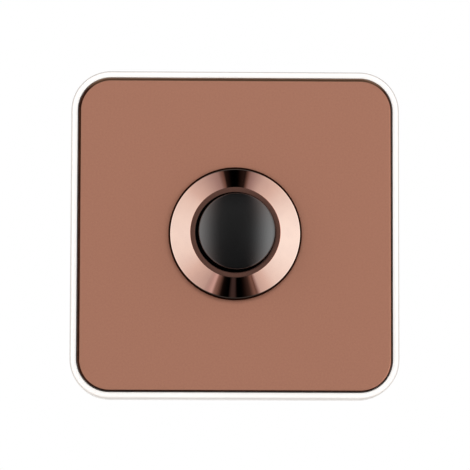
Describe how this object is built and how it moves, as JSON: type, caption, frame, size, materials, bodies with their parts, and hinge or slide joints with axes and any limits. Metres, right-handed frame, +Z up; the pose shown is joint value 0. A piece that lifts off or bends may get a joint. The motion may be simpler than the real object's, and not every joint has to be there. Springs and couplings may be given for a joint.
{
  "type": "doorbell push button",
  "caption": "Square wall-mounted doorbell push: satin metal plate in a pale surround, polished conical bezel ring, domed push cap and a momentary switch behind.",
  "frame": {"origin": "in the wall plane, on the button's axis, midway between the two wall-box screws", "axes": "+X to the visitor's right, +Y into the wall, +Z up; the button faces -Y"},
  "size_m": [0.086, 0.0416, 0.086],
  "materials": {
    "white_polycarbonate": "gloss",
    "gasket_foam": "matt",
    "satin_bronze": "satin",
    "liner_plastic": "matt",
    "polished_bronze": "polished",
    "seal_rubber": "matt",
    "nut_brass": "turned",
    "black_cap": "satin",
    "natural_nylon": "matt",
    "spring_steel": "drawn",
    "strip_brass": "rolled",
    "contact_silver": "polished",
    "terminal_brass": "milled",
    "zinc_steel": "plated",
    "housing_plastic": "matt"
  },
  "bodies": {
    "wall_unit": {"surround_frame": "white_polycarbonate", "backing_gasket": "gasket_foam", "front_plate": "satin_bronze", "plate_liner": "liner_plastic", "bezel_ring": "polished_bronze", "bezel_seal": "seal_rubber", "bezel_nut": "nut_brass", "return_spring": "spring_steel", "fixed_contact_right": "strip_brass", "fixed_contact_left": "strip_brass", "fixed_contact_tips": "contact_silver", "terminal_clamp_right": "terminal_brass", "terminal_clamp_left": "terminal_brass", "terminal_screws": "zinc_steel", "switch_housing": "housing_plastic", "housing_cover": "housing_plastic", "cover_screws": "zinc_steel", "fixing_screws": "zinc_steel"},
    "button": {"push_cap": "black_cap", "plunger": "natural_nylon", "plunger_clip": "spring_steel", "contact_spring": "spring_steel", "contact_bridge": "strip_brass", "moving_contacts": "contact_silver"}
  },
  "joints": [
    {"name": "button_press", "type": "slide", "parent": "wall_unit", "child": "button", "axis": [0, 1, 0], "range_m": [0, 0.002], "stiffness_N_per_m": 600, "springref_m": -0.0028, "deforming": ["return_spring"]}
  ]
}
